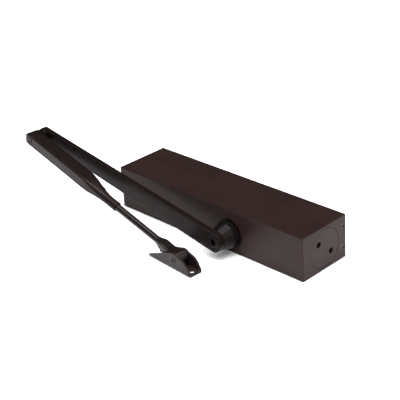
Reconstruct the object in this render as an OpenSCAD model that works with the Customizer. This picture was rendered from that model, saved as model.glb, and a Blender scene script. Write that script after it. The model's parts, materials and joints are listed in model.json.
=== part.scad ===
// Surface-mounted door closer: a rack-and-pinion body with a folded two-part arm and a shoe.
// It lies on its mounting face. X runs along the body, Y across it (the arm is on the -Y side)
// and Z is the projection from the door. The origin is the centre of the mounting face.
// All sizes are millimetres.

/* [Body] */
// Length of the body
body_len = 240; // [238:1:260]
// Width of the body on the door
body_w = 60; // [60:0.5:64]
// Projection of the body from the door
body_h = 44; // [43:0.5:48]
// Chamfer along the outer edges of the body
edge_chamfer = 0.7; // [0.3:0.1:1]
// Distance between the fixing holes along the body
fixing_x = 160; // [150:1:168]
// Distance between the fixing holes across the body
fixing_y = 48; // [47:0.5:49]

/* [Cylinder and piston] */
// Height of the cylinder axis above the mounting face
bore_z = 22; // [21.5:0.5:22.5]
// Diameter of the cylinder bore
bore_d = 34; // [33:0.5:34]
// Diameter of the threaded holes for the end plugs
plug_d = 39; // [38:0.5:39]
// Length of the end plugs
plug_len = 14; // [12:1:14]
// Running clearance of the piston in its bore, on the radius
piston_fit = 0.05; // [0.03:0.01:0.08]

/* [Pinion] */
// Position of the pinion axis along the body, from its middle
pinion_x = 31; // [30:0.5:32]
// Height of the pinion axis above the mounting face
pinion_z = 19; // [18.5:0.5:19.5]
// Number of pinion teeth
pinion_teeth = 12; // [12:1:12]
// Tooth module of the rack and pinion
tooth_module = 1.25; // [1.25:0.05:1.25]
// Diameter of the pinion journals
journal_d = 14.9; // [14.5:0.1:14.9]
// Size across the flats of the square pinion end
square_af = 12; // [11:0.5:12]

/* [Main arm] */
// Distance from the pinion axis to the elbow axis
arm_len = 248; // [230:1:260]
// Angle that the folded arm rises from the body's long axis
arm_rise = 10.1; // [9:0.1:12]
// Thickness of the arm bar
arm_t = 6; // [5:0.5:6]
// Radius of the arm's end at the pinion
arm_r_pinion = 10; // [9.5:0.5:11]
// Radius of the arm's end at the elbow
arm_r_elbow = 7.5; // [7:0.5:8]
// Diameter of the arm hub
hub_d = 26.5; // [25:0.5:27]
// Diameter of the hub where it meets the arm
hub_nose_d = 20.4; // [19:0.2:24]
// Distance from the body to the back of the arm bar
hub_len = 16.5; // [16:0.5:18]

/* [Forearm] */
// Distance from the elbow axis to the shoe pin, along the rod
reach = 234; // [225:1:250]
// Distance of the forearm's middle plane from the body's middle, on the arm side
fore_y = 63.4; // [63.4:0.2:65]
// Angle that the forearm is set outwards from the plane of the arm
fore_set = 4; // [3:0.5:4]
// Width of the forearm channel
fore_w = 14.7; // [14:0.1:14.8]
// Height of the forearm channel
fore_h = 12.2; // [12:0.1:13]
// Wall thickness of the channel
fore_wall = 2.4; // [2:0.1:3]
// Distance of the rod's axis below the elbow axis
rod_drop = 3; // [2.5:0.1:3.2]
// Diameter of the adjusting rod
rod_d = 6.8; // [6:0.1:7]
// Outer diameter of the sleeve that holds the rod
sleeve_d = 9.2; // [9:0.1:10]
// Distance from the elbow axis to the open end of the sleeve
sleeve_end = 141; // [138:1:145]

/* [Shoe] */
// Height of the shoe pin above the shoe's mounting face
shoe_pin_h = 10; // [9.5:0.5:10.5]
// Width of the shoe over its two side walls
shoe_w = 15.2; // [15.2:0.2:17]
// Thickness of the shoe's sheet steel
shoe_t = 1.8; // [1.5:0.1:1.8]
// Radius of the eye at the end of the rod
eye_r = 6.8; // [6.5:0.1:7]
// Radius of the two screw holes in the shoe
shoe_hole_r = 2.6; // [2:0.1:3]

/* [Hidden] */
$fn = 96;

// Colours
PAINT = "#3a302e";
STEEL = "#8d8f92";
BRIGHT = "#c9cbce";
RUBBER = "#1d1d1f";
BRASS = "#b59a55";
IRON = "#6e6a66";

// A small overlap that lets cutting tools pass through a face
cut = 1;
// Gap between surfaces that slide past each other in the open
gap = 0.3;
// Radial clearance of threaded and fitted pieces
fit = 0.05;

// Main stations of the body
half_len = body_len / 2;
near_face = body_w / 2;
bore_r = bore_d / 2;
plug_r = plug_d / 2;
plug_in = half_len - plug_len;

// Rack and pinion
pitch_r = pinion_teeth * tooth_module / 2;
rack_pitch = PI * tooth_module;
pressure_angle = 20;
addendum = 0.88 * tooth_module;
dedendum = 1.25 * tooth_module;
half_tooth = 0.8;
tip_r = pitch_r + addendum;
root_r = pitch_r - dedendum;
base_r = pitch_r * cos(pressure_angle);
pinion_half = bore_r + 0.5;

// Bearings, caps and seals of the pinion, measured from the body's middle plane
race_in = pinion_half + 0.4;
race_out = near_face - 5.1;
cap_in = near_face - 5;
cap_out = near_face - 0.8;
cap_r = 15;
bearing_r = 14;
ball_r = 2.2;
ball_ring_r = 10.65;
ball_count = 10;
seal_r = 11;
dust_r = 11;
journal_r = journal_d / 2;

// Piston, with the pinion's window between its two heads
head_len = 14;
window_l = pinion_x - tip_r - 1;
window_len = 42;
window_r = window_l + window_len;
piston_l = window_l - head_len;
piston_r = window_r + head_len;
rack_z = pinion_z - pitch_r;
window_top = pinion_z + tip_r + 0.7;
rack_teeth = floor(window_len / rack_pitch) - 1;

// Spring and its adjuster, from the left end
seat_l = -plug_in + 6;
seat_flange = 3;
seat_len = 7;
screw_r = 5;
screw_end = seat_l + seat_len + 31;

// Regulating valves in the thick corner of the right end
valve_y = near_face - 5.5;
valve_r = 3;
valve_zs = [11, 33];
valve_len = 30;

// Main arm
arm_back = near_face + hub_len;
arm_front = arm_back + arm_t;
elbow_x = pinion_x - arm_len * cos(arm_rise);
elbow_z = pinion_z + arm_len * sin(arm_rise);
pin_r = 3.5;
bush_r = 4.5;
arm_screw_r = 4;
arm_hole_r = 6.2;

// Forearm: it drops from the elbow so that the shoe stands on the mounting plane
fore_drop = asin((elbow_z - shoe_pin_h) / norm([reach, rod_drop])) - atan2(rod_drop, reach);
nose = 8;
nose_r = 4.5;
boss_end = 8;
channel_end = 96;
taper_end = 128;
rod_start = 62;
clamp_x = 110;

// Shoe
shoe_in = shoe_w / 2 - shoe_t;
eye_half = shoe_in - gap;
shoe_l = -36.8;
shoe_base_l = -30;
shoe_r = 22.5;
shoe_holes = [-24, 17];
shoe_pin_r = 3.5;

// ---------- helpers ----------

// Cylinder along X from x0 to x1
module rod_x(x0, x1, r) {
    translate([x0, 0, 0]) rotate([0, 90, 0]) cylinder(h = x1 - x0, r = r);
}

// Cylinder along Y from y0 to y1
module rod_y(y0, y1, r) {
    translate([0, y0, 0]) rotate([-90, 0, 0]) cylinder(h = y1 - y0, r = r);
}

// Cone along X from x0 to x1
module cone_x(x0, x1, r0, r1) {
    translate([x0, 0, 0]) rotate([0, 90, 0]) cylinder(h = x1 - x0, r1 = r0, r2 = r1);
}

// Box given by its two corners
module box(low, high) {
    translate(low) cube(high - low);
}

// Ring of round section about the X axis
module o_ring_x(x, ring_r, wire_r) {
    translate([x, 0, 0]) rotate([0, 90, 0]) rotate_extrude()
        translate([ring_r, 0]) circle(r = wire_r);
}

// Rectangle with cut corners, about the origin
module cut_rectangle(w, h, c) {
    polygon([
        [-w / 2 + c, -h / 2], [w / 2 - c, -h / 2], [w / 2, -h / 2 + c], [w / 2, h / 2 - c],
        [w / 2 - c, h / 2], [-w / 2 + c, h / 2], [-w / 2, h / 2 - c], [-w / 2, -h / 2 + c]
    ]);
}

// Turn a shape made for the near side (-Y) to the far side when side is 1
module on_side(side) {
    mirror([0, side > 0 ? 1 : 0, 0]) children();
}

module at_bore() {
    translate([0, 0, bore_z]) children();
}

module at_pinion() {
    translate([pinion_x, 0, pinion_z]) children();
}

module at_elbow() {
    translate([elbow_x, 0, elbow_z]) children();
}

module at_valve(i) {
    translate([0, valve_y, valve_zs[i]]) children();
}

// The arm's own frame: X runs from the pinion to the elbow
module in_arm() {
    at_pinion() rotate([0, 180 + arm_rise, 0]) children();
}

// The forearm's own frame: X runs along the rod, the elbow axis is at the origin
module in_forearm() {
    translate([elbow_x, -fore_y, elbow_z]) rotate([0, 0, -fore_set]) rotate([0, fore_drop, 0])
        children();
}

// The shoe's own frame: level, with the shoe pin's axis at the origin
module in_shoe() {
    in_forearm() translate([reach, 0, -rod_drop]) rotate([0, -fore_drop, 0]) children();
}

// ---------- body ----------

module body_block() {
    translate([0, 0, body_h / 2]) intersection() {
        rotate([90, 0, 90]) linear_extrude(body_len, center = true)
            cut_rectangle(body_w, body_h, edge_chamfer);
        rotate([90, 0, 0]) linear_extrude(body_w, center = true)
            cut_rectangle(body_len, body_h, edge_chamfer);
        linear_extrude(body_h, center = true)
            cut_rectangle(body_len, body_w, edge_chamfer);
    }
}

// Two cross ducts join each valve's bore to the cylinder
module valve_passages(i) {
    at_valve(i) rod_x(half_len - valve_len, half_len + cut, valve_r);
    for (x = [half_len - valve_len + 1.5, plug_in - 4])
        translate([x, 0, valve_zs[i]]) rod_y(bore_r - 6, valve_y, 1);
}

module housing() {
    color(PAINT) difference() {
        body_block();
        at_bore() rod_x(-plug_in - cut, plug_in + cut, bore_r);
        for (side = [-1, 1])
            at_bore() mirror([side > 0 ? 0 : 1, 0, 0]) rod_x(plug_in, half_len + cut, plug_r);
        at_pinion() rod_y(-cap_in - cut, cap_in + cut, bearing_r);
        for (side = [-1, 1])
            on_side(side) at_pinion() rod_y(-near_face - cut, -cap_in, cap_r);
        for (i = [0, 1]) valve_passages(i);
        for (x = [-1, 1], y = [-1, 1])
            translate([x * fixing_x / 2, y * fixing_y / 2, -cut]) cylinder(h = 12 + cut, r = 2.55);
    }
}

// Threaded plug of the right end, turned with a pin spanner; centred on the X axis
module plug_blank() {
    difference() {
        union() {
            rod_x(plug_in, half_len - 0.5, plug_r - fit);
            cone_x(half_len - 0.5, half_len, plug_r - fit, plug_r - fit - 0.5);
        }
        difference() {
            rod_x(plug_in + 2, plug_in + 4.6, plug_r + cut);
            rod_x(plug_in + 2 - cut, plug_in + 4.6 + cut, plug_r - 2.5);
        }
        for (side = [-1, 1])
            translate([0, side * -8.4, side * 6.3]) rod_x(half_len - 8, half_len + cut, 2.9);
    }
}

module right_end_plug() {
    color(PAINT) at_bore() plug_blank();
}

module left_end_plug() {
    color(PAINT) at_bore() mirror([1, 0, 0]) difference() {
        plug_blank();
        rod_x(plug_in - cut, half_len + cut, screw_r + fit);
        rod_x(plug_in + 3, plug_in + 5.4, screw_r + 2.1);
    }
}

module right_plug_seal() {
    color(RUBBER) at_bore() o_ring_x(plug_in + 3.3, plug_r - 1.25, 1.2);
}

module left_plug_seal() {
    color(RUBBER) at_bore() o_ring_x(-plug_in - 3.3, plug_r - 1.25, 1.2);
}

// Threaded ring that holds a bearing and its shaft seal
module bearing_cap(side) {
    color(STEEL) on_side(side) at_pinion() difference() {
        rod_y(-cap_out, -cap_in, cap_r - fit);
        rod_y(-cap_in - 2.6, -cap_in + cut, seal_r);
        rod_y(-near_face, -cap_in, journal_r + 0.35);
        rod_y(-near_face, -cap_out + 1.2, dust_r + fit);
        for (a = [0, 180])
            rotate([0, a, 0]) translate([13, 0, 0]) rod_y(-near_face, -cap_out + 1.5, 1.1);
    }
}

module shaft_seal(side) {
    color(RUBBER) on_side(side) at_pinion() difference() {
        rod_y(-cap_in - 2.5, -cap_in, seal_r - fit);
        rod_y(-near_face, -cap_in + cut, journal_r + fit);
        rotate([90, 0, 0]) translate([0, 0, cap_in - cut]) difference() {
            cylinder(h = 2.2, r = seal_r - 1);
            cylinder(h = 5, r = journal_r + 1);
        }
    }
}

module ball_groove() {
    rotate([90, 0, 0]) rotate_extrude() translate([ball_ring_r, 0]) circle(r = ball_r + fit);
}

module race(side, r_in, r_out) {
    color(BRIGHT) on_side(side) at_pinion() difference() {
        rod_y(-race_out, -race_in, r_out);
        rod_y(-race_out - cut, -race_in + cut, r_in);
        translate([0, -(race_in + race_out) / 2, 0]) ball_groove();
    }
}

module bearing_balls(side) {
    color(BRIGHT) on_side(side) at_pinion()
        for (i = [0 : ball_count - 1])
            rotate([0, i * 360 / ball_count, 0])
                translate([ball_ring_r, -(race_in + race_out) / 2, 0]) sphere(r = ball_r);
}

module far_dust_cap() {
    color(RUBBER) at_pinion() rod_y(cap_out - 1.1, near_face, dust_r - fit);
}

// ---------- pinion and main arm ----------

function involute_turn(r) =
    let (a = acos(min(1, base_r / r))) tan(a) * 180 / PI - a;

// Half angle of a pinion tooth at radius r
function tooth_half_angle(r) =
    half_tooth / pitch_r * 180 / PI + involute_turn(pitch_r) - involute_turn(max(r, base_r));

flank_radii = [root_r, base_r, pitch_r, (pitch_r + tip_r) / 2, tip_r];

module pinion_profile() {
    step = 360 / pinion_teeth;
    polygon([
        for (t = [0 : pinion_teeth - 1])
            let (mid = t * step + step / 2 - 90)
                for (side = [-1, 1], i = [0 : len(flank_radii) - 1])
                    let (
                        r = flank_radii[side < 0 ? i : len(flank_radii) - 1 - i],
                        a = mid + side * tooth_half_angle(r)
                    ) r * [cos(a), sin(a)]
    ]);
}

// Square with its corners turned down to the journal
module square_end(y0, y1, af, corner_r) {
    intersection() {
        box([-af / 2, y0, -af / 2], [af / 2, y1, af / 2]);
        rod_y(y0, y1, corner_r);
    }
}

module pinion_shaft() {
    color(STEEL) at_pinion() difference() {
        union() {
            rotate([90, 0, 0]) linear_extrude(2 * pinion_half, center = true) pinion_profile();
            rod_y(-near_face, -pinion_half, journal_r);
            rod_y(pinion_half, cap_out - 1.6, journal_r);
            rotate([0, arm_rise, 0])
                square_end(-arm_back + 3, -near_face, square_af, journal_r - 0.1);
        }
        rod_y(-arm_back, -near_face + 2, arm_screw_r + fit);
    }
}

module arm_hub() {
    square_depth = arm_back - 2.6;
    straight = 5;
    chamfer = 0.6;
    color(PAINT) at_pinion() rotate([0, arm_rise, 0]) difference() {
        rotate([90, 0, 0]) {
            translate([0, 0, near_face + 0.4]) cylinder(h = straight, r = hub_d / 2);
            translate([0, 0, near_face + 0.4 + straight])
                cylinder(h = hub_len - 0.4 - straight - chamfer, r1 = hub_d / 2, r2 = hub_nose_d / 2);
            translate([0, 0, arm_back - chamfer])
                cylinder(h = chamfer, r1 = hub_nose_d / 2, r2 = hub_nose_d / 2 - chamfer);
        }
        square_end(-square_depth, -near_face + cut, square_af + 0.2, journal_r + 0.1);
        rod_y(-arm_back - cut, -near_face, arm_screw_r + 0.3);
    }
}

// Flat bar between two round ends; its straight edges start just inside the two circles
module arm_bar(r0, r1, len) {
    lean = asin((r0 - r1) / len);
    inset = 0.01;
    polygon([
        (r0 - inset) * [sin(lean), -cos(lean)],
        [len, 0] + (r1 - inset) * [sin(lean), -cos(lean)],
        [len, 0] + (r1 - inset) * [sin(lean), cos(lean)],
        (r0 - inset) * [sin(lean), cos(lean)]
    ]);
    circle(r = r0);
    translate([len, 0]) circle(r = r1);
}

module main_arm() {
    color(PAINT) in_arm() difference() {
        translate([0, -arm_back, 0]) rotate([90, 0, 0]) linear_extrude(arm_t)
            arm_bar(arm_r_pinion, arm_r_elbow, arm_len);
        rod_y(-arm_front - cut, -arm_back + cut, arm_hole_r);
        translate([arm_len, 0, 0]) rod_y(-arm_front - cut, -arm_back + cut, pin_r + fit);
    }
}

module arm_screw() {
    color(STEEL) at_pinion() difference() {
        union() {
            rod_y(-arm_front + 0.6, -arm_back - 0.8, arm_hole_r - 0.2);
            rod_y(-arm_back - 1, -near_face - 3, arm_screw_r);
        }
        translate([0, -arm_front, 0]) rotate([-90, 0, 0]) cylinder(h = 3.6, r = 3.46, $fn = 6);
    }
}

module arm_washer() {
    color(STEEL) at_pinion() difference() {
        rod_y(-arm_back - 0.8, -arm_back, arm_hole_r - 0.2);
        rod_y(-arm_back - cut, -arm_back + cut, arm_screw_r + 0.2);
    }
}

// Rivet through the arm's end, the washer and the forearm's nose
module elbow_pin() {
    color(STEEL) at_elbow() {
        rod_y(-fore_y - fore_w / 2 - 0.4, -arm_back, pin_r);
        rod_y(-arm_back, -arm_back + 1.4, pin_r + 2);
    }
}

module elbow_washer() {
    color(STEEL) at_elbow() difference() {
        rod_y(-arm_front - 2.6, -arm_front, arm_r_elbow - 0.5);
        rod_y(-arm_front - 2.6 - cut, -arm_front + cut, pin_r + fit);
    }
}

// ---------- piston ----------

module rack_tooth() {
    flare = tan(pressure_angle);
    polygon([
        [-half_tooth - dedendum * flare, -dedendum - 0.2],
        [-half_tooth + addendum * flare, addendum],
        [half_tooth - addendum * flare, addendum],
        [half_tooth + dedendum * flare, -dedendum - 0.2]
    ]);
}

module piston() {
    r = bore_r - piston_fit;
    color(IRON) {
        difference() {
            at_bore() rod_x(piston_l, piston_r, r);
            box([window_l, -bore_r - cut, rack_z - dedendum], [window_r, bore_r + cut, window_top]);
            at_bore() rod_x(piston_l - cut, window_l + cut, 3);
            at_bore() rod_x(window_r - cut, piston_r + cut, 1.6);
            at_bore() rod_x(window_r + 4, piston_r + cut, 4);
            at_bore() difference() {
                rod_x(piston_r - 7, piston_r - 4, bore_r + cut);
                rod_x(piston_r - 7 - cut, piston_r - 4 + cut, bore_r - 2);
            }
        }
        intersection() {
            translate([pinion_x, 0, rack_z]) rotate([90, 0, 0])
                linear_extrude(2 * bore_r, center = true)
                    for (t = [-1 : rack_teeth - 2]) translate([t * rack_pitch, 0]) rack_tooth();
            at_bore() rod_x(window_l, window_r, r);
        }
    }
}

module piston_ring() {
    color(RUBBER) at_bore() difference() {
        rod_x(piston_r - 6.9, piston_r - 4.1, bore_r - 0.03);
        rod_x(piston_r - 7 - cut, piston_r - 4 + cut, bore_r - 1.9);
    }
}

module check_valve_seat() {
    color(BRASS) at_bore() difference() {
        rod_x(piston_r - 3.2, piston_r - 0.4, 4 - fit);
        rod_x(piston_r - 4, piston_r, 1.5);
    }
}

module check_valve_ball() {
    color(BRIGHT) at_bore() translate([window_r + 6.9, 0, 0]) sphere(r = 2.5);
}

// ---------- springs and their adjuster ----------

// Distance along a coil after t turns: closed end turns and an even pitch between them
function coil_x(t, turns, length, wire) =
    t < 1 ? t * wire
    : t > turns - 1 ? length - wire - (turns - t) * wire
    : wire + (t - 1) / (turns - 2) * (length - 3 * wire);

module coil(x0, length, turns, mean_r, wire_r, start) {
    steps = 18;
    sides = 8;
    rings = turns * steps;
    points = [
        for (k = [0 : rings])
            let (
                a = start + 360 * k / steps,
                x = x0 + wire_r + coil_x(k / steps, turns, length, 2 * wire_r)
            )
                for (s = [0 : sides - 1])
                    let (
                        b = 360 * s / sides,
                        r = mean_r + wire_r * cos(b)
                    ) [x + wire_r * sin(b), r * cos(a), r * sin(a)]
    ];
    faces = concat(
        [[for (s = [0 : sides - 1]) s]],
        [[for (s = [sides - 1 : -1 : 0]) rings * sides + s]],
        [
            for (k = [0 : rings - 1], s = [0 : sides - 1])
                let (a = k * sides + s, b = k * sides + (s + 1) % sides)
                    for (tri = [[a, a + sides, b], [b, a + sides, b + sides]]) tri
        ]
    );
    polyhedron(points = points, faces = faces, convexity = 8);
}

module outer_spring() {
    x0 = seat_l + seat_flange + 0.1;
    color(STEEL) at_bore() coil(x0, piston_l - x0 - 0.1, 9, 12.9, 2.2, 0);
}

module inner_spring() {
    x0 = seat_l + seat_len + 0.1;
    color(STEEL) at_bore() coil(x0, piston_l - x0 - 0.1, 12, 7.9, 1.3, 90);
}

module spring_seat() {
    color(STEEL) at_bore() difference() {
        union() {
            rod_x(seat_l, seat_l + seat_flange, bore_r - 0.5);
            rod_x(seat_l, seat_l + seat_len, 10);
        }
        rod_x(seat_l - cut, seat_l + seat_len + cut, screw_r + fit);
    }
}

module spring_screw() {
    color(STEEL) at_bore() difference() {
        union() {
            rod_x(-half_len + 0.5, screw_end, screw_r);
            rod_x(-plug_in + gap, -plug_in + 3.3, screw_r + 3);
        }
        translate([-half_len, 0, 0]) rotate([0, 90, 0]) cylinder(h = 6, r = 3.46, $fn = 6);
    }
}

module spring_screw_seal() {
    color(RUBBER) at_bore() o_ring_x(-plug_in - 4.2, screw_r + 1.08, 1);
}

// ---------- regulating valves ----------

module valve_screw(i) {
    neck = plug_in - 1;
    color(STEEL) at_valve(i) difference() {
        union() {
            rod_x(neck, half_len - 0.3, valve_r - fit);
            rod_x(neck - 8, neck, valve_r - 1);
            cone_x(neck - 13, neck - 8, 0.6, valve_r - 1);
        }
        box([half_len - 1.6, -valve_r, -0.5], [half_len + cut, valve_r, 0.5]);
        difference() {
            rod_x(neck + 3, neck + 4.6, valve_r + cut);
            rod_x(neck + 3 - cut, neck + 4.6 + cut, valve_r - 1.3);
        }
    }
}

module valve_seal(i) {
    color(RUBBER) at_valve(i) o_ring_x(plug_in + 2.8, valve_r - 0.67, 0.62);
}

// ---------- forearm, rod and shoe ----------

// Side outline of the channel, with the nose's two corners well rounded
module nose_outline() {
    h = fore_h / 2;
    translate([-nose + nose_r, h - nose_r]) circle(r = nose_r);
    translate([-nose + 6, 6 - h]) circle(r = 6);
    translate([-nose, 6 - h]) square([channel_end, 2 * h - 6 - nose_r]);
    translate([-nose + nose_r, 0]) square([channel_end - nose_r, h]);
    translate([-nose + 6, -h]) square([channel_end - 6, 2 * h]);
}

module forearm_solid() {
    rotate([90, 0, 0]) linear_extrude(fore_w, center = true) intersection() {
        nose_outline();
        translate([-nose, -fore_h]) square([channel_end + nose, 2 * fore_h]);
    }
    hull() {
        box(
            [channel_end - nose - 1, -fore_w / 2, -fore_h / 2],
            [channel_end - nose, fore_w / 2, fore_h / 2]
        );
        translate([0, 0, -rod_drop]) rotate([0, 90, 0])
            translate([0, 0, taper_end - 1]) cylinder(h = 1, r = sleeve_d / 2, $fn = 32);
    }
    translate([0, 0, -rod_drop]) rod_x(channel_end - nose, sleeve_end, sleeve_d / 2);
}

module forearm() {
    color(PAINT) difference() {
        in_forearm() difference() {
            forearm_solid();
            box(
                [boss_end, -fore_w / 2 + fore_wall, -fore_h],
                [channel_end - nose - 2, fore_w / 2 - fore_wall, fore_h / 2 - fore_wall]
            );
            translate([0, 0, -rod_drop])
                rod_x(channel_end - nose - 3, sleeve_end + cut, rod_d / 2 + fit);
            translate([clamp_x, 0, -rod_drop]) rod_y(0, fore_w, 2.5);
        }
        at_elbow() rod_y(-fore_y - fore_w, -fore_y + fore_w, bush_r);
    }
}

module elbow_bush() {
    half = fore_w / 2 - gap;
    color(STEEL) at_elbow() difference() {
        rod_y(-fore_y - half, -fore_y + half, bush_r - fit);
        rod_y(-fore_y - fore_w, -fore_y + fore_w, pin_r + fit);
    }
}

module rod_clamp_screw() {
    color(STEEL) in_forearm() translate([clamp_x, 0, -rod_drop]) difference() {
        rod_y(rod_d / 2 + gap, fore_w / 2, 2.45);
        translate([0, fore_w / 2 - 2, 0]) rotate([-90, 0, 0]) cylinder(h = 3, r = 1.44, $fn = 6);
    }
}

module adjusting_rod() {
    eye_x = reach;
    color(PAINT) in_forearm() translate([0, 0, -rod_drop]) difference() {
        union() {
            rod_x(rod_start, eye_x - 30, rod_d / 2);
            hull() {
                rod_x(eye_x - 32, eye_x - 31, rod_d / 2, $fn = 32);
                box([eye_x - 25, -eye_half, -rod_d / 2], [eye_x - 24, eye_half, rod_d / 2]);
            }
            box([eye_x - 25, -eye_half, -rod_d / 2], [eye_x, eye_half, rod_d / 2]);
            translate([eye_x, 0, 0]) rod_y(-eye_half, eye_half, eye_r);
        }
        translate([eye_x, 0, 0]) rod_y(-shoe_w, shoe_w, shoe_pin_r + fit);
    }
}

// Side wall of the shoe; its heights are measured from the mounting face
module shoe_side() {
    polygon([
        [shoe_l, 0], [shoe_l, 2.4], [-18.5, 9.9], [-14.5, 12.6], [-3.2, 15.7],
        [4.6, 14.8], [14, 12.3], [17.6, 9], [20.2, 4.8], [22, 0]
    ]);
    translate([0, shoe_pin_h]) circle(r = 6.5);
}

module shoe() {
    corner = 1.5;
    color(PAINT) in_shoe() translate([0, 0, -shoe_pin_h]) difference() {
        union() {
            for (side = [-1, 1])
                translate([0, side * (shoe_w - shoe_t) / 2, 0]) rotate([90, 0, 0])
                    linear_extrude(shoe_t, center = true) shoe_side();
            linear_extrude(shoe_t) {
                translate([shoe_base_l, -shoe_w / 2]) square([shoe_r - shoe_base_l - corner, shoe_w]);
                translate([0, -shoe_w / 2 + corner]) square([shoe_r, shoe_w - 2 * corner]);
                for (side = [-1, 1])
                    translate([shoe_r - corner, side * (shoe_w / 2 - corner)]) circle(r = corner);
            }
        }
        for (x = shoe_holes) translate([x, 0, -cut]) cylinder(h = shoe_t + 2 * cut, r = shoe_hole_r);
        translate([0, 0, shoe_pin_h]) rod_y(-shoe_w, shoe_w, shoe_pin_r + 0.02);
    }
}

module shoe_pin() {
    color(STEEL) in_shoe() rod_y(-shoe_w / 2 - 0.3, shoe_w / 2 + 0.3, shoe_pin_r);
}

// ---------- assembly ----------

housing();
right_end_plug();
left_end_plug();
right_plug_seal();
left_plug_seal();
bearing_cap(-1);  // near_bearing_cap
bearing_cap(1);  // far_bearing_cap
shaft_seal(-1);  // near_shaft_seal
shaft_seal(1);  // far_shaft_seal
race(-1, 12, bearing_r - fit);  // near_bearing_outer_race
race(1, 12, bearing_r - fit);  // far_bearing_outer_race
bearing_balls(-1);  // near_bearing_balls
bearing_balls(1);  // far_bearing_balls
far_dust_cap();
pinion_shaft();
race(-1, journal_r + fit, 9.3);  // near_bearing_inner_race
race(1, journal_r + fit, 9.3);  // far_bearing_inner_race
arm_hub();
main_arm();
arm_screw();
arm_washer();
elbow_pin();
elbow_washer();
piston();
piston_ring();
check_valve_seat();
check_valve_ball();
outer_spring();
inner_spring();
spring_seat();
spring_screw();
spring_screw_seal();
valve_screw(0);  // sweep_valve
valve_seal(0);  // sweep_valve_seal
valve_screw(1);  // latch_valve
valve_seal(1);  // latch_valve_seal
forearm();
elbow_bush();
rod_clamp_screw();
adjusting_rod();
shoe();
shoe_pin();
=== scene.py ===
"""Looks of the door closer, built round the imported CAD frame. Everything is in metres."""
import json
import math

import bmesh
import bpy
from mathutils import Matrix, Vector


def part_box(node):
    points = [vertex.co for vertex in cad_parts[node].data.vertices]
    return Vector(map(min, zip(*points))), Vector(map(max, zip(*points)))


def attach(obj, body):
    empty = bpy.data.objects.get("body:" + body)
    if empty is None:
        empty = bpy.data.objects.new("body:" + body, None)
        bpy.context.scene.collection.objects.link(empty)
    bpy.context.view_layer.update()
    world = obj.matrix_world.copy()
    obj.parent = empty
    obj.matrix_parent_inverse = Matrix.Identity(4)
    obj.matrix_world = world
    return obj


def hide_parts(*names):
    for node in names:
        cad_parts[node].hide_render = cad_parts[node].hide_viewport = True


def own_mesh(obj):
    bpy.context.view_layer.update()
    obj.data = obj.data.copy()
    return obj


MM = 0.001
TAU = 2 * math.pi

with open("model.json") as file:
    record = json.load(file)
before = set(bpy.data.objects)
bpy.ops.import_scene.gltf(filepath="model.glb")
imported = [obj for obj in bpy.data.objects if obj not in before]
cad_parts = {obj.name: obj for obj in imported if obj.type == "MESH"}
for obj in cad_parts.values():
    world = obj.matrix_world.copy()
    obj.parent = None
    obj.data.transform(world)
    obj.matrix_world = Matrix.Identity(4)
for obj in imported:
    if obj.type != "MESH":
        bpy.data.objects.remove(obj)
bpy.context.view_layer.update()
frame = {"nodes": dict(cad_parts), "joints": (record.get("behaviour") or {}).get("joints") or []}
joints = {j["name"]: j for j in frame["joints"]}


def corners(node):
    """Lowest and highest corner of a CAD node, in millimetres."""
    low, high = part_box(node)
    return low / MM, high / MM


# ---------- frames of the moving pieces, read from the joints ----------

PINION = Vector(joints["pinion_turn"]["pos_m"]) / MM
ELBOW = Vector(joints["elbow_pivot"]["pos_m"]) / MM
SHOE_PIN = Vector(joints["shoe_pivot"]["pos_m"]) / MM
ROD_DIR = Vector(joints["rod_slide"]["axis"]).normalized()
SIDE_DIR = Vector(joints["shoe_pivot"]["axis"]).normalized()


def axes(origin, x, y):
    """Matrix of a local frame in millimetres, from its origin and its X and Y directions."""
    x, y = Vector(x).normalized(), Vector(y).normalized()
    m = Matrix((x, y, x.cross(y))).transposed().to_4x4()
    m.translation = origin
    return m


UP = Vector((0, 0, 1))
IN_FOREARM = axes(ELBOW, ROD_DIR, SIDE_DIR)
IN_SHOE = axes(SHOE_PIN, SIDE_DIR.cross(UP), SIDE_DIR)
ARM_DIR = Vector((ELBOW.x - PINION.x, 0, ELBOW.z - PINION.z))
ARM_LEN = ARM_DIR.length
IN_ARM = axes((PINION.x, 0, PINION.z), ARM_DIR, Vector((0, -1, 0)).cross(ARM_DIR))
SHOE_DROP = SHOE_PIN.z
ROD_LEVEL = (IN_FOREARM.inverted() @ SHOE_PIN).z
REACH = (IN_FOREARM.inverted() @ SHOE_PIN).x


# ---------- materials ----------

def new_material(name):
    mat = bpy.data.materials.new(name)
    mat.use_nodes = True
    tree = mat.node_tree
    tree.nodes.clear()
    out = tree.nodes.new("ShaderNodeOutputMaterial")
    bsdf = tree.nodes.new("ShaderNodeBsdfPrincipled")
    tree.links.new(bsdf.outputs["BSDF"], out.inputs["Surface"])
    return mat, tree, bsdf


def node(tree, kind, **values):
    """A shader node with its properties set; names with a capital are sockets."""
    n = tree.nodes.new("ShaderNode" + kind)
    for key, value in values.items():
        if key[0].isupper():
            n.inputs[key.replace("_", " ")].default_value = value
        else:
            setattr(n, key, value)
    return n


def noise_at(tree, coords, scale, detail=3.0, stretch=None):
    vector = coords
    if stretch:
        mapping = node(tree, "Mapping", Scale=stretch)
        tree.links.new(coords, mapping.inputs["Vector"])
        vector = mapping.outputs["Vector"]
    n = node(tree, "TexNoise", Scale=scale, Detail=detail)
    tree.links.new(vector, n.inputs["Vector"])
    return n.outputs["Fac"]


def remap(tree, value, low, high, to_low, to_high):
    n = node(tree, "MapRange")
    n.inputs["From Min"].default_value = low
    n.inputs["From Max"].default_value = high
    n.inputs["To Min"].default_value = to_low
    n.inputs["To Max"].default_value = to_high
    tree.links.new(value, n.inputs["Value"])
    return n.outputs["Result"]


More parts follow.
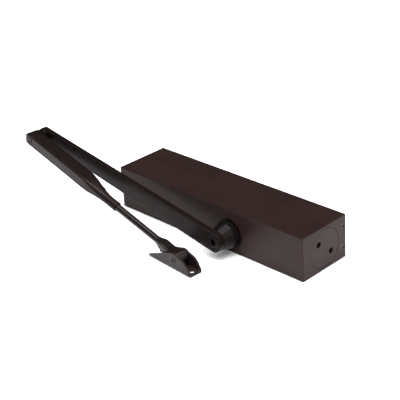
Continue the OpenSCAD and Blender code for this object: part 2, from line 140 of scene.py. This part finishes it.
def mix(tree, factor, a, b):
    """Colour mix; a and b are colours or sockets."""
    n = node(tree, "Mix", data_type="RGBA")
    tree.links.new(factor, n.inputs["Factor"])
    for socket, value in ((n.inputs[6], a), (n.inputs[7], b)):
        if isinstance(value, bpy.types.NodeSocket):
            tree.links.new(value, socket)
        else:
            socket.default_value = (*value, 1.0)
    return n.outputs[2]


def math_node(tree, operation, a, b):
    n = node(tree, "Math", operation=operation)
    for socket, value in zip(n.inputs, (a, b)):
        if isinstance(value, bpy.types.NodeSocket):
            tree.links.new(value, socket)
        else:
            socket.default_value = value
    return n.outputs[0]


def edge_mask(tree, radius):
    """1 along the sharp edges of a piece and 0 on its faces."""
    bevel = node(tree, "Bevel", samples=6, Radius=radius)
    geometry = node(tree, "NewGeometry")
    dot = node(tree, "VectorMath", operation="DOT_PRODUCT")
    tree.links.new(bevel.outputs["Normal"], dot.inputs[0])
    tree.links.new(geometry.outputs["Normal"], dot.inputs[1])
    return remap(tree, dot.outputs["Value"], 0.99, 0.82, 0.0, 1.0)


def bump(tree, bsdf, layers):
    """Chain of bump layers, each (height socket, strength, distance in metres)."""
    last = None
    for height, strength, distance in layers:
        b = node(tree, "Bump", Strength=strength, Distance=distance)
        tree.links.new(height, b.inputs["Height"])
        if last:
            tree.links.new(last, b.inputs["Normal"])
        last = b.outputs["Normal"]
    tree.links.new(last, bsdf.inputs["Normal"])


def paint(name, base, rough, specular=0.5, wear=0.5, peel=0.12, worn=(0.075, 0.058, 0.054)):
    """Stoved satin paint on metal: fine orange peel, faint clouding, dust and rubbed edges."""
    mat, tree, bsdf = new_material(name)
    coords = node(tree, "TexCoord").outputs["Object"]
    clouds = noise_at(tree, coords, 22, 5)
    grain = noise_at(tree, coords, 2600, 2)
    peel_noise = noise_at(tree, coords, 900, 2)
    scuffs = noise_at(tree, coords, 160, 8, (0.25, 1, 1))
    dark = tuple(c * 0.86 for c in base)
    light = tuple(min(1, c * 1.14 + 0.0004) for c in base)
    colour = mix(tree, remap(tree, clouds, 0.3, 0.7, 0, 1), dark, light)
    speckle = remap(tree, grain, 0.62, 0.75, 0.0, 0.16)
    colour = mix(tree, speckle, colour, worn)
    rubbed = remap(tree, scuffs, 0.35, 0.65, 0.1, 1)
    edges = math_node(tree, "MULTIPLY", edge_mask(tree, 0.0007), rubbed)
    colour = mix(tree, math_node(tree, "MULTIPLY", edges, wear), colour, worn)
    tree.links.new(colour, bsdf.inputs["Base Color"])
    spread = remap(tree, scuffs, 0.3, 0.75, rough - 0.06, rough + 0.08)
    fine = remap(tree, grain, 0.3, 0.7, -0.03, 0.03)
    tree.links.new(math_node(tree, "ADD", spread, fine), bsdf.inputs["Roughness"])
    bsdf.inputs["Specular IOR Level"].default_value = specular
    bsdf.inputs["Specular Tint"].default_value = (1.0, 0.85, 0.86, 1.0)
    bump(tree, bsdf, [(peel_noise, peel, 0.0002), (grain, 0.05, 0.00005)])
    return mat


def metal(name, base, rough, grain_scale=1400, stretch=(1, 1, 1), oil=0.0, depth=0.08):
    """Machined or ground metal: directional grain, stains and rubbed edges."""
    mat, tree, bsdf = new_material(name)
    coords = node(tree, "TexCoord").outputs["Object"]
    grain = noise_at(tree, coords, grain_scale, 3, stretch)
    stains = noise_at(tree, coords, 90, 6)
    dark = tuple(c * 0.62 for c in base)
    colour = mix(tree, remap(tree, stains, 0.35, 0.75, 0, 1), base, dark)
    colour = mix(tree, remap(tree, grain, 0.35, 0.7, 0, 0.35), colour, dark)
    bright = tuple(min(1, c * 1.25 + 0.05) for c in base)
    colour = mix(tree, math_node(tree, "MULTIPLY", edge_mask(tree, 0.0004), 0.6), colour, bright)
    tree.links.new(colour, bsdf.inputs["Base Color"])
    spread = remap(tree, grain, 0.25, 0.75, rough - 0.08, rough + 0.12)
    tree.links.new(spread, bsdf.inputs["Roughness"])
    bsdf.inputs["Metallic"].default_value = 1.0
    bsdf.inputs["Coat Weight"].default_value = oil
    bsdf.inputs["Coat Roughness"].default_value = 0.15
    bump(tree, bsdf, [(grain, depth, 0.0001), (stains, 0.03, 0.0002)])
    return mat


def cast(name, base, rough):
    """Cast iron with a machined, oily skin."""
    mat, tree, bsdf = new_material(name)
    coords = node(tree, "TexCoord").outputs["Object"]
    grit = noise_at(tree, coords, 1100, 6)
    tone = noise_at(tree, coords, 120, 5)
    dark = tuple(c * 0.5 for c in base)
    colour = mix(tree, remap(tree, tone, 0.3, 0.7, 0, 1), dark, base)
    tree.links.new(colour, bsdf.inputs["Base Color"])
    tree.links.new(remap(tree, grit, 0.3, 0.7, rough - 0.1, rough + 0.1), bsdf.inputs["Roughness"])
    bsdf.inputs["Metallic"].default_value = 0.9
    bump(tree, bsdf, [(grit, 0.35, 0.0002)])
    return mat


def rubber(name, base):
    mat, tree, bsdf = new_material(name)
    coords = node(tree, "TexCoord").outputs["Object"]
    bloom = noise_at(tree, coords, 240, 6)
    pores = noise_at(tree, coords, 3200, 3)
    grey = tuple(c * 2.2 + 0.01 for c in base)
    colour = mix(tree, remap(tree, bloom, 0.45, 0.8, 0, 0.7), base, grey)
    tree.links.new(colour, bsdf.inputs["Base Color"])
    tree.links.new(remap(tree, pores, 0.3, 0.7, 0.62, 0.85), bsdf.inputs["Roughness"])
    bsdf.inputs["Specular IOR Level"].default_value = 0.3
    bump(tree, bsdf, [(pores, 0.2, 0.00008)])
    return mat


BODY_PAINT = paint("body_paint", (0.0125, 0.0062, 0.0054), 0.38, specular=0.145, wear=0.25)
PLUG_PAINT = paint("plug_paint", (0.0135, 0.0072, 0.0066), 0.38, specular=0.155, wear=0.4)
FOREARM_PAINT = paint("forearm_paint", (0.0052, 0.0024, 0.0024), 0.36, specular=0.13, wear=0.35)
# The main arm's paint is darker than the forearm's and the body's paint as painted shade: its face
# lies in shade next to the forearm and hub.
ARM_PAINT_SHADED = paint("arm_paint", (0.0042, 0.0023, 0.0021), 0.34, specular=0.09, wear=0.35)
ROD_PAINT = paint("rod_paint", (0.0046, 0.0028, 0.0027), 0.28, specular=0.26, wear=0.5)
HUB_PAINT = paint("hub_paint", (0.0030, 0.0023, 0.0022), 0.26, specular=0.075, peel=0.35, wear=0.15)
SHOE_PAINT = paint("shoe_paint", (0.0110, 0.0070, 0.0072), 0.36, specular=0.17, wear=0.4)
DARK_STEEL = metal("dark_steel", (0.020, 0.016, 0.016), 0.36)
VALVE_STEEL = metal("valve_steel", (0.072, 0.057, 0.055), 0.4)
MACHINED = metal("machined_steel", (0.46, 0.46, 0.47), 0.28, 2200, (1, 0.15, 1), oil=0.3)
BEARING = metal("bearing_steel", (0.62, 0.63, 0.65), 0.14, 3000, oil=0.3, depth=0.03)
SPRING = metal("spring_steel", (0.2, 0.21, 0.225), 0.32, 1800, oil=0.4)
BRASS = metal("brass", (0.62, 0.47, 0.21), 0.26, 2000, oil=0.2)
IRON = cast("cast_iron", (0.3, 0.29, 0.28), 0.42)
RUBBER = rubber("rubber", (0.018, 0.018, 0.019))

CAD_MATERIALS = {
    BODY_PAINT: ["housing"],
    PLUG_PAINT: ["right_end_plug", "left_end_plug"],
    DARK_STEEL: [
        "near_bearing_cap", "far_bearing_cap", "arm_screw", "arm_washer", "elbow_washer",
        "rod_clamp_screw", "elbow_bush",
    ],
    VALVE_STEEL: ["sweep_valve", "latch_valve"],
    MACHINED: ["pinion_shaft", "spring_seat", "spring_screw"],
    BEARING: [
        "near_bearing_outer_race", "far_bearing_outer_race", "near_bearing_inner_race",
        "far_bearing_inner_race", "near_bearing_balls", "far_bearing_balls", "check_valve_ball",
    ],
    BRASS: ["check_valve_seat"],
    IRON: ["piston"],
    RUBBER: [
        "far_dust_cap", "piston_ring", "right_plug_seal", "left_plug_seal", "near_shaft_seal",
        "far_shaft_seal", "spring_screw_seal", "sweep_valve_seal", "latch_valve_seal",
    ],
}
for material, names in CAD_MATERIALS.items():
    for name in names:
        mesh = frame["nodes"][name].data
        mesh.materials.clear()
        mesh.materials.append(material)


# ---------- mesh tools; lengths in millimetres until place() ----------

def mesh_object(name, bm):
    mesh = bpy.data.meshes.new(name)
    bm.to_mesh(mesh)
    bm.free()
    obj = bpy.data.objects.new(name, mesh)
    bpy.context.scene.collection.objects.link(obj)
    return obj


def closed(bm):
    bmesh.ops.remove_doubles(bm, verts=bm.verts, dist=1e-4)
    bmesh.ops.recalc_face_normals(bm, faces=bm.faces)
    return bm


def skin(loops):
    """Surface through rings of points, with its two ends closed."""
    bm = bmesh.new()
    rings = [[bm.verts.new(p) for p in loop] for loop in loops]
    count = len(rings[0])
    for a, b in zip(rings, rings[1:]):
        for i in range(count):
            j = (i + 1) % count
            bm.faces.new((a[i], a[j], b[j], b[i]))
    bm.faces.new(rings[0][::-1])
    bm.faces.new(rings[-1])
    return closed(bm)


def circle(r, segments, a=0.0, b=0.0, turn=TAU):
    """Points of a circle about (a, b); a turn of -TAU runs it the other way."""
    angles = [turn * k / segments for k in range(segments)]
    return [(a + r * math.cos(t), b + r * math.sin(t)) for t in angles]


def lathe(profile, centre, segments=96):
    """Solid of revolution about a line along Y; profile is (y, radius) from end to end."""
    return skin([
        [(x, y, z) for x, z in circle(r, segments, *centre)] for y, r in profile
    ])


def tube(profile, centre, segments=96):
    """Closed ring of revolution about a line along Y; profile is a closed loop of (y, radius)."""
    bm = bmesh.new()
    rings = []
    for k in range(segments):
        a = TAU * k / segments
        rings.append([
            bm.verts.new((centre[0] + r * math.cos(a), y, centre[1] + r * math.sin(a)))
            for y, r in profile
        ])
    for k in range(segments):
        a, b = rings[k], rings[(k + 1) % segments]
        for i in range(len(profile)):
            j = (i + 1) % len(profile)
            bm.faces.new((a[i], a[j], b[j], b[i]))
    return closed(bm)


def prism(outline, start, end, to_point):
    """Outline swept from start to end; to_point maps (a, b, depth) to a point."""
    return skin([[to_point(a, b, depth) for a, b in outline] for depth in (start, end)])


def arc(cx, cy, r, start, end, steps):
    """Points on an arc, angles in degrees."""
    return [
        (
            cx + r * math.cos(math.radians(start + (end - start) * k / steps)),
            cy + r * math.sin(math.radians(start + (end - start) * k / steps)),
        )
        for k in range(steps + 1)
    ]


def filleted(points, steps=6):
    """Polygon with rounded corners; points are (a, b, radius)."""
    out = []
    for i, (a, b, r) in enumerate(points):
        p = Vector((a, b))
        before = Vector(points[i - 1][:2]) - p
        after = Vector(points[(i + 1) % len(points)][:2]) - p
        angle = before.angle(after)
        if r <= 0 or angle > math.radians(179):
            out.append((a, b))
            continue
        reach = min(r / math.tan(angle / 2), 0.45 * before.length, 0.45 * after.length)
        start, end = p + before.normalized() * reach, p + after.normalized() * reach
        for k in range(steps + 1):
            t = k / steps
            q = start.lerp(p, t).lerp(p.lerp(end, t), t)
            out.append((q.x, q.y))
    return out


def boolean(target, cutters, operation="DIFFERENCE"):
    for cutter in cutters:
        mod = target.modifiers.new("cut", "BOOLEAN")
        mod.operation = operation
        mod.solver = "EXACT"
        mod.object = cutter
        apply_modifiers(target)
        bpy.data.objects.remove(cutter)
    return target


def apply_modifiers(obj):
    bpy.context.view_layer.update()
    graph = bpy.context.evaluated_depsgraph_get()
    mesh = bpy.data.meshes.new_from_object(obj.evaluated_get(graph))
    obj.modifiers.clear()
    old = obj.data
    obj.data = mesh
    bpy.data.meshes.remove(old)


def without_slivers(obj):
    """Cuts every face into triangles and takes out those with no area."""
    bm = bmesh.new()
    bm.from_mesh(obj.data)
    bmesh.ops.triangulate(bm, faces=bm.faces, ngon_method="EAR_CLIP")
    bmesh.ops.dissolve_degenerate(bm, dist=1e-3, edges=bm.edges)
    bm.to_mesh(obj.data)
    bm.free()


def soften(obj, width, segments=3, angle=32):
    """Rounds every sharp edge a little."""
    bm = bmesh.new()
    bm.from_mesh(obj.data)
    bmesh.ops.dissolve_limit(
        bm, angle_limit=math.radians(0.6), verts=bm.verts, edges=bm.edges,
        use_dissolve_boundaries=False,
    )
    bmesh.ops.remove_doubles(bm, verts=bm.verts, dist=1e-4)
    bm.to_mesh(obj.data)
    bm.free()
    mod = obj.modifiers.new("soften", "BEVEL")
    mod.width = width
    mod.segments = segments
    mod.limit_method = "ANGLE"
    mod.angle_limit = math.radians(angle)
    mod.use_clamp_overlap = True
    mod.miter_outer = "MITER_ARC"
    apply_modifiers(obj)
    return obj


def place(obj, material, body, slot, *replaced, matrix=None, sharp=38):
    """Last step of a piece: to metres, shading, material, and the CAD nodes it stands for."""
    mesh = obj.data
    if matrix:
        mesh.transform(matrix)
    mesh.transform(Matrix.Scale(MM, 4))
    mesh.materials.clear()
    mesh.materials.append(material)
    for p in mesh.polygons:
        p.use_smooth = True
        p.material_index = 0
    mesh.set_sharp_from_angle(angle=math.radians(sharp))
    mod = obj.modifiers.new("normals", "WEIGHTED_NORMAL")
    mod.keep_sharp = True
    mod.weight = 60
    apply_modifiers(obj)
    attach(obj, body)
    if replaced:
        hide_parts(*replaced)
    return obj


# ---------- main arm ----------

arm_low, arm_high = corners("main_arm")
ARM_R_PINION = 10.0
ARM_R_ELBOW = 7.5
ARM_EDGE = 0.6
SCREW_HOLE_R = 6.2
PIN_HOLE_R = 3.55


def hole(cx, r, steps=64):
    return circle(r, steps, cx, 0, -TAU)


def plate(name, loops, thickness, edge):
    """Flat plate with rounded rims and holes, centred on its own plane."""
    curve = bpy.data.curves.new(name, "CURVE")
    curve.dimensions = "2D"
    curve.fill_mode = "BOTH"
    curve.extrude = thickness / 2 - edge
    curve.bevel_depth = edge
    curve.bevel_resolution = 3
    curve.offset = -edge
    for loop in loops:
        spline = curve.splines.new("POLY")
        spline.points.add(len(loop) - 1)
        for point, (a, b) in zip(spline.points, loop):
            point.co = (a, b, 0, 1)
        spline.use_cyclic_u = True
    source = bpy.data.objects.new(name, curve)
    bpy.context.scene.collection.objects.link(source)
    bpy.context.view_layer.update()
    graph = bpy.context.evaluated_depsgraph_get()
    mesh = bpy.data.meshes.new_from_object(source.evaluated_get(graph))
    bpy.data.objects.remove(source)
    obj = bpy.data.objects.new(name, mesh)
    bpy.context.scene.collection.objects.link(obj)
    bm = bmesh.new()
    bm.from_mesh(mesh)
    closed(bm)
    bm.to_mesh(mesh)
    bm.free()
    return obj


lean = math.degrees(math.asin((ARM_R_PINION - ARM_R_ELBOW) / ARM_LEN))
arm_outline = arc(0, 0, ARM_R_PINION, 90 - lean, 270 + lean, 48)
arm_outline += arc(ARM_LEN, 0, ARM_R_ELBOW, -90 + lean, 90 - lean, 40)
arm_loops = [arm_outline, hole(0, SCREW_HOLE_R), hole(ARM_LEN, PIN_HOLE_R)]
arm = plate("main_arm_bar", arm_loops, arm_high.y - arm_low.y, ARM_EDGE)
arm_matrix = IN_ARM.copy()
arm_matrix.translation = (PINION.x, (arm_low.y + arm_high.y) / 2, PINION.z)
# The main arm takes the darker paint that stands in for the shade on its face.
place(arm, ARM_PAINT_SHADED, "pinion", "arm_paint", "main_arm", matrix=arm_matrix)

# ---------- hub, turned and painted ----------

hub_low, hub_high = corners("arm_hub")
HUB_R = (hub_high.x - hub_low.x) / 2
HUB_BORE = 7.62
front, back = hub_low.y, hub_high.y
HUB_NOSE_R = 10.2
HUB_TAPER = back - 5.4
hub_profile = [(front, HUB_NOSE_R - 1.0)]
hub_profile += [(front + 0.8 - b, HUB_NOSE_R - 0.8 + a) for a, b in arc(0, 0, 0.8, 75, 15, 3)]
hub_profile += [(HUB_TAPER, HUB_R - 0.12), (HUB_TAPER + 0.5, HUB_R - 0.03)]
hub_profile += [(back - 1.2 - 0.25, HUB_R), (back - 1.2, HUB_R - 0.25), (back - 0.9, HUB_R - 0.25)]
hub_profile += [(back - 0.65, HUB_R), (back - 0.3, HUB_R), (back, HUB_R - 0.3)]
hub_profile += [(back, HUB_BORE + 0.4), (back - 0.4, HUB_BORE), (front + 2.6, HUB_BORE)]
hub_profile += [(front + 2.6, 4.3), (front, 4.3)]
hub = mesh_object("hub_turned", tube(hub_profile, (PINION.x, PINION.z), 128))
place(hub, HUB_PAINT, "pinion", "arm_paint", "arm_hub", sharp=30)

# ---------- rivets with centre marks ----------


def rivet(name, y_mark, y_far, r, centre, head=None):
    """Rivet along Y; its end at y_mark has a rounded rim and a centre mark."""
    step = 1 if y_far > y_mark else -1
    profile = [(y_mark + step * 0.9, 0.05), (y_mark + step * 0.15, 0.95), (y_mark, 1.15)]
    profile += [(y_mark, r - 0.4), (y_mark + step * 0.12, r - 0.12), (y_mark + step * 0.4, r)]
    if head:
        r_head, thick = head
        profile += [(y_far - step * thick, r), (y_far - step * thick, r_head - 0.15)]
        profile += [(y_far - step * (thick - 0.15), r_head), (y_far - step * 0.5, r_head)]
        profile += [(y_far - step * 0.15, r_head - 0.2), (y_far, r_head - 0.6), (y_far, 0.05)]
    else:
        profile += [(y_far - step * 0.4, r), (y_far - step * 0.12, r - 0.12), (y_far, r - 0.4)]
        profile += [(y_far, 1.15), (y_far - step * 0.15, 0.95), (y_far - step * 0.9, 0.05)]
    return mesh_object(name, lathe(profile, centre, 64))


pin_low, pin_high = corners("elbow_pin")
PIN_R = 3.5
PIN_HEAD = (5.5, 1.4)  # radius and thickness
elbow_rivet = rivet(
    "elbow_rivet", pin_low.y, pin_high.y, PIN_R, (ELBOW.x, ELBOW.z), PIN_HEAD
)
place(elbow_rivet, DARK_STEEL, "pinion", "dark_steel", "elbow_pin")

SHOE_HALF = 7.6
RIVET_PROUD = 0.3
rivet_end = SHOE_HALF + RIVET_PROUD
shoe_rivet = rivet("shoe_rivet", -rivet_end, rivet_end, PIN_R, (0, 0))
place(shoe_rivet, DARK_STEEL, "shoe", "dark_steel", "shoe_pin", matrix=IN_SHOE)

# ---------- forearm: pressed channel that closes into a sleeve ----------

NOSE = 8.0
NOSE_R = 4.5
CHANNEL_HALF = 7.35
CHANNEL_TOP = 6.1
WALL = 2.4
SLEEVE_R = 4.6
SLEEVE_END = 141.0
CORNER_STEPS = 7


def ease(x, start, end):
    t = min(1, max(0, (x - start) / (end - start)))
    return t * t * (3 - 2 * t)


def rounded_section(x, half, top, bottom, r_top, r_bottom):
    """Ring of points of a rectangle with rounded corners, in the plane at x."""
    most = min(half, (top - bottom) / 2) - 0.01
    r_top, r_bottom = min(r_top, most), min(r_bottom, most)
    ring_points = []
    for cy, cz, r, turn in (
        (half - r_top, top - r_top, r_top, 0),
        (-half + r_top, top - r_top, r_top, 90),
        (-half + r_bottom, bottom + r_bottom, r_bottom, 180),
        (half - r_bottom, bottom + r_bottom, r_bottom, 270),
    ):
        ring_points += [(x, a, b) for a, b in arc(cy, cz, r, turn, turn + 90, CORNER_STEPS)]
    return ring_points


def forearm_ring(x):
    to_sleeve = ease(x, 90, 130)
    drop = ease(x, 104, 131)
    half = CHANNEL_HALF + (SLEEVE_R - CHANNEL_HALF) * to_sleeve
    top = CHANNEL_TOP + (ROD_LEVEL + SLEEVE_R - CHANNEL_TOP) * to_sleeve
    bottom = -CHANNEL_TOP + (ROD_LEVEL - SLEEVE_R + CHANNEL_TOP) * drop
    rounding = ease(x, 84, 120)
    r_top = 1.3 + (SLEEVE_R - 1.3) * rounding
    r_bottom = 0.8 + (SLEEVE_R - 0.8) * ease(x, 96, 126)
    nose = x + NOSE
    if nose < NOSE_R:
        top = CHANNEL_TOP - NOSE_R + math.sqrt(max(0.0, NOSE_R ** 2 - (NOSE_R - nose) ** 2))
    if nose < 6:
        bottom = -(0.1 + math.sqrt(max(0.0, 6 ** 2 - (6 - nose) ** 2)))
    if nose < 2.2:
        half = CHANNEL_HALF - 2.2 + math.sqrt(max(0.0, 2.2 ** 2 - (2.2 - nose) ** 2))
    if x > SLEEVE_END - 0.5:
        shrink = 0.5 - math.sqrt(max(0.0, 0.25 - (x - SLEEVE_END + 0.5) ** 2))
        half, top, bottom = half - shrink, top - shrink, bottom + shrink
    return rounded_section(x, half, top, bottom, r_top, r_bottom)


nose_steps = (0, 0.06, 0.2, 0.45, 0.8, 1.2, 1.7, 2.2, 2.8, 3.5, 4.3, 5.2, 6.0)
nose_stations = [d - NOSE for d in nose_steps]
middle_stations = [4, 12, 24, 40, 56, 70, 78]
taper_stations = [82 + 2 * k for k in range(25)]
end_stations = [134, SLEEVE_END - 0.5, SLEEVE_END - 0.3, SLEEVE_END - 0.12, SLEEVE_END]
stations = nose_stations + middle_stations + taper_stations + end_stations
forearm = mesh_object("forearm_channel", skin([forearm_ring(x) for x in stations]))


def bar_x(name, x0, x1, r, segments=64):
    """Cylinder along X on the rod's axis."""
    loops = [[(x, y, z) for y, z in circle(r, segments, 0, ROD_LEVEL)] for x in (x0, x1)]
    return mesh_object(name, skin(loops))


inner = CHANNEL_HALF - WALL
cavity_outline = filleted([
    (8, -20, 0), (96, -20, 0), (86, CHANNEL_TOP - WALL, 5), (8, CHANNEL_TOP - WALL, 2.5),
])
cavity = mesh_object("cavity", prism(cavity_outline, -inner, inner, lambda a, b, y: (a, y, b)))
soften(cavity, 1.0, 3, 60)
rod_bore = bar_x("rod_bore", 78, 150, 3.45)
clamp_hole = mesh_object("clamp_hole", lathe([(0, 2.5), (20, 2.5)], (110, ROD_LEVEL), 48))
pin_hole = mesh_object("pin_hole", lathe([(-90, 4.5), (-40, 4.5)], (ELBOW.x, ELBOW.z), 64))
pin_hole.data.transform(IN_FOREARM.inverted())
boolean(forearm, [cavity, rod_bore, clamp_hole, pin_hole])
place(forearm, FOREARM_PAINT, "forearm", "arm_paint", "forearm", matrix=IN_FOREARM, sharp=30)

# ---------- adjusting rod with its forged eye ----------

ROD_R = 3.4
EYE_R = 6.8
EYE_HALF = 5.5
ROD_START = 62.0


def rod_ring(x):
    flare = ease(x, REACH - 33, REACH - 22)
    half = ROD_R + (EYE_HALF - 0.2 - ROD_R) * flare
    lift = 0.35 * math.sin(math.pi * ease(x, REACH - 30, REACH - 14))
    thick = ROD_R - 0.25 * flare + lift + 1.6 * ease(x, REACH - 13, REACH - 3)
    radius = ROD_R + (1.3 - ROD_R) * flare
    shrink = 0.5 * (1 - ease(x, ROD_START, ROD_START + 0.7))
    return rounded_section(
        x, half - shrink, ROD_LEVEL + thick - shrink, ROD_LEVEL - thick + shrink, radius, radius
    )


rod_stations = [ROD_START, ROD_START + 0.25, ROD_START + 0.7, 80, 120, 160, 190]
rod_stations += [REACH - 34 + k for k in range(0, 33)] + [REACH - 1, REACH]
rod = mesh_object("rod_forged", skin([rod_ring(x) for x in rod_stations]))
eye_profile = [(-EYE_HALF, 2.0), (-EYE_HALF, EYE_R - 0.7)]
eye_profile += [(-EYE_HALF + 0.7 - b, EYE_R - 0.7 + a) for a, b in arc(0, 0, 0.7, 75, 15, 3)]
eye_profile += [(-EYE_HALF + 0.7, EYE_R), (EYE_HALF - 0.7, EYE_R)]
eye_profile += [(EYE_HALF - 0.7 + b, EYE_R - 0.7 + a) for a, b in arc(0, 0, 0.7, 15, 75, 3)]
eye_profile += [(EYE_HALF, EYE_R - 0.7), (EYE_HALF, 2.0)]
eye = mesh_object("eye", lathe(eye_profile, (REACH, ROD_LEVEL), 80))
boolean(rod, [eye], "UNION")
eye_bore_profile = [(-9, PIN_HOLE_R), (9, PIN_HOLE_R)]
eye_bore = mesh_object("eye_bore", lathe(eye_bore_profile, (REACH, ROD_LEVEL), 64))
boolean(rod, [eye_bore])
without_slivers(rod)
place(rod, ROD_PAINT, "rod", "arm_paint", "adjusting_rod", matrix=IN_FOREARM, sharp=30)

# ---------- shoe: folded sheet steel ----------

SHEET = 1.8
BEND = 2.5
SHOE_LEFT = -36.8
BASE_LEFT = -30.0
SHOE_RIGHT = 22.5
SCREW_R = 2.6
base = -SHOE_DROP
w_out, w_in = SHOE_HALF, SHOE_HALF - SHEET
u_section = filleted([
    (-w_out, 20, 0), (-w_out, 0, BEND), (w_out, 0, BEND), (w_out, 20, 0),
    (w_in, 20, 0), (w_in, SHEET, BEND - SHEET + 0.2),
    (-w_in, SHEET, BEND - SHEET + 0.2), (-w_in, 20, 0),
], 6)
shoe = mesh_object(
    "shoe_bracket", prism(u_section, SHOE_LEFT, SHOE_RIGHT, lambda a, b, x: (x, a, base + b))
)
side_outline = filleted([
    (SHOE_LEFT, -1, 0), (SHOE_LEFT, 2.4, 0.8), (-18.5, 9.9, 8), (-14.5, 12.6, 6), (-4.2, 15.4, 5),
    (-1.5, 16.45, 3), (1.8, 16.45, 4), (5.2, 14.9, 5), (14, 12.3, 5), (17.6, 9, 4),
    (20.2, 4.8, 4), (21.3, SHEET + 0.1, 0.4), (SHOE_RIGHT + 1, SHEET + 0.1, 0),
    (SHOE_RIGHT + 1, -1, 0),
])
side = mesh_object("side", prism(side_outline, -12, 12, lambda a, b, y: (a, y, base + b)))
plan_outline = [(SHOE_LEFT - 1, -9), (14, -9)]
plan_outline += arc(SHOE_RIGHT - 1.5, 1.5 - SHOE_HALF, 1.5, -90, 0, 6)
plan_outline += arc(SHOE_RIGHT - 1.5, SHOE_HALF - 1.5, 1.5, 0, 90, 6)
plan_outline += [(14, 9), (SHOE_LEFT - 1, 9)]
plan = mesh_object("plan", prism(plan_outline, -5, 40, lambda a, b, z: (a, b, base + z)))
boolean(shoe, [side, plan], "INTERSECT")
notch_outline = filleted([
    (SHOE_LEFT - 2, -w_in, 0), (BASE_LEFT, -w_in, 2.5),
    (BASE_LEFT, w_in, 2.5), (SHOE_LEFT - 2, w_in, 0),
])
notch = mesh_object("notch", prism(notch_outline, -3, 8, lambda a, b, z: (a, b, base + z)))
boolean(shoe, [notch])


def drill(x, r):
    loops = [[(a, b, base + z) for a, b in circle(r, 48, x)] for z in (-2, 5)]
    return mesh_object("drill", skin(loops))


rivet_hole = mesh_object("rivet_hole", lathe([(-12, 3.52), (12, 3.52)], (0, 0), 64))
boolean(shoe, [drill(-24, SCREW_R), drill(17, SCREW_R), rivet_hole])
soften(shoe, 0.28, 2, 40)
place(shoe, SHOE_PAINT, "shoe", "arm_paint", "shoe", matrix=IN_SHOE)

# ---------- springs, as smooth coils ----------


def coil(name, node_name, turns, mean_r, wire_r, start):
    low, high = corners(node_name)
    centre_z = (corners("spring_seat")[0].z + corners("spring_seat")[1].z) / 2
    length = high.x - low.x
    wire = 2 * wire_r
    steps, sides = 40, 14
    loops = []
    for k in range(turns * steps + 1):
        t = k / steps
        if t < 1:
            along = t * wire
        elif t > turns - 1:
            along = length - wire - (turns - t) * wire
        else:
            along = wire + (t - 1) / (turns - 2) * (length - 3 * wire)
        a = math.radians(start) + TAU * t
        x = low.x + wire_r + along
        loops.append([
            (
                x + wire_r * math.sin(TAU * s / sides),
                (mean_r + wire_r * math.cos(TAU * s / sides)) * math.cos(a),
                centre_z + (mean_r + wire_r * math.cos(TAU * s / sides)) * math.sin(a),
            )
            for s in range(sides)
        ])
    obj = mesh_object(name, skin(loops))
    place(obj, SPRING, "closer_body", "spring_steel", node_name)
    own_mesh(obj)


coil("outer_spring_coil", "outer_spring", 9, 12.9, 2.2, 0)
coil("inner_spring_coil", "inner_spring", 12, 7.9, 1.3, 90)

# ---------- floor, light and camera ----------

scene = bpy.context.scene
scene.view_settings.view_transform = "Standard"
scene.view_settings.look = "None"

bpy.ops.mesh.primitive_plane_add(size=60, location=(0, 0, -0.0002))
floor = bpy.context.object
floor.name = "floor"
mat, tree, bsdf = new_material("studio_floor")
coords = node(tree, "TexCoord").outputs["Object"]
tone = noise_at(tree, coords, 3, 3)
tree.links.new(mix(tree, tone, (0.92, 0.92, 0.92), (0.94, 0.94, 0.94)), bsdf.inputs["Base Color"])
bsdf.inputs["Roughness"].default_value = 0.9
bsdf.inputs["Specular IOR Level"].default_value = 0.1
floor.data.materials.append(mat)


def softbox(name, location, target, size, power, colour=(1, 1, 1)):
    light = bpy.data.lights.new(name, "AREA")
    light.shape = "RECTANGLE"
    light.size, light.size_y = size
    light.energy = power
    light.color = colour
    obj = bpy.data.objects.new(name, light)
    obj.location = location
    direction = Vector(target) - Vector(location)
    obj.rotation_euler = direction.to_track_quat("-Z", "Y").to_euler()
    scene.collection.objects.link(obj)


softbox("top", (0.2, -0.3, 2.2), (0, 0, 0), (2.6, 2.6), 150)
softbox("right", (2.2, 0.1, 1.1), (0, 0, 0), (3.2, 1.7), 46)
softbox("front", (0.5, -1.9, 0.9), (0, 0, 0), (2.4, 1.5), 12)

world = bpy.data.worlds.new("studio")
scene.world = world
world.use_nodes = True
background = world.node_tree.nodes["Background"]
background.inputs["Color"].default_value = (1, 1, 1, 1)
background.inputs["Strength"].default_value = 0.06

AZIMUTH = math.radians(47.0)
ELEVATION = math.radians(26.85)
ROLL = math.radians(-4.15)
back_dir = Vector((
    math.sin(AZIMUTH) * math.cos(ELEVATION),
    -math.cos(AZIMUTH) * math.cos(ELEVATION),
    math.sin(ELEVATION),
))
right_dir = Vector((math.cos(AZIMUTH), math.sin(AZIMUTH), 0))
up_dir = back_dir.cross(right_dir)
turned_right = right_dir * math.cos(ROLL) + up_dir * math.sin(ROLL)
turned_up = up_dir * math.cos(ROLL) - right_dir * math.sin(ROLL)
camera_matrix = Matrix((turned_right, turned_up, back_dir)).transposed().to_4x4()
camera_matrix.translation = (0.6419, -0.63361, 0.49046)
lens = bpy.data.cameras.new("camera")
lens.sensor_width = 36
lens.lens = 95.08
lens.clip_end = 50
camera = bpy.data.objects.new("camera", lens)
camera.matrix_world = camera_matrix
scene.collection.objects.link(camera)
scene.camera = camera
